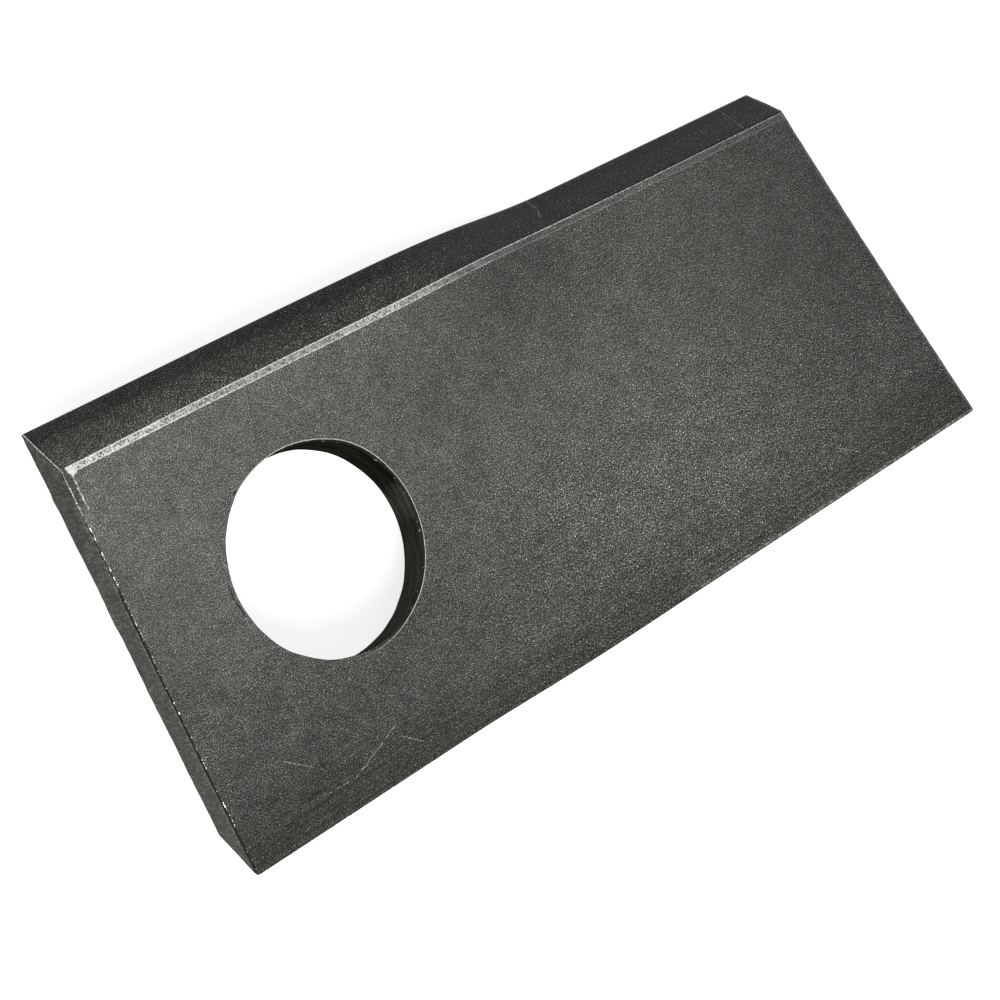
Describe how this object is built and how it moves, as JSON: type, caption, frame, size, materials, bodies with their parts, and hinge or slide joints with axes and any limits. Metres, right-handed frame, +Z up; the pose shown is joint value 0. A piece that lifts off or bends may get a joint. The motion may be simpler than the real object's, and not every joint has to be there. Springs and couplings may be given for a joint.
{
  "type": "disc mower blade",
  "caption": "Flat twisted steel mowing blade with a round mounting hole at one end, a bevelled cutting edge along each side and a dark mill-scale finish.",
  "frame": {"origin": "centre of the mounting hole on the underside of the mounting end", "axes": "+Z up through the mounting hole, +X along the bar from the hole towards the cutting end, +Y towards the cutting edge whose flank is on the upper side"},
  "size_m": [0.109, 0.048, 0.0142],
  "materials": {
    "dark_steel": "dark mill scale, fine grained and matt, worn bright on the ridge between flank and upper face"
  },
  "bodies": {
    "root": {"blade": "dark_steel"}
  },
  "joints": []
}
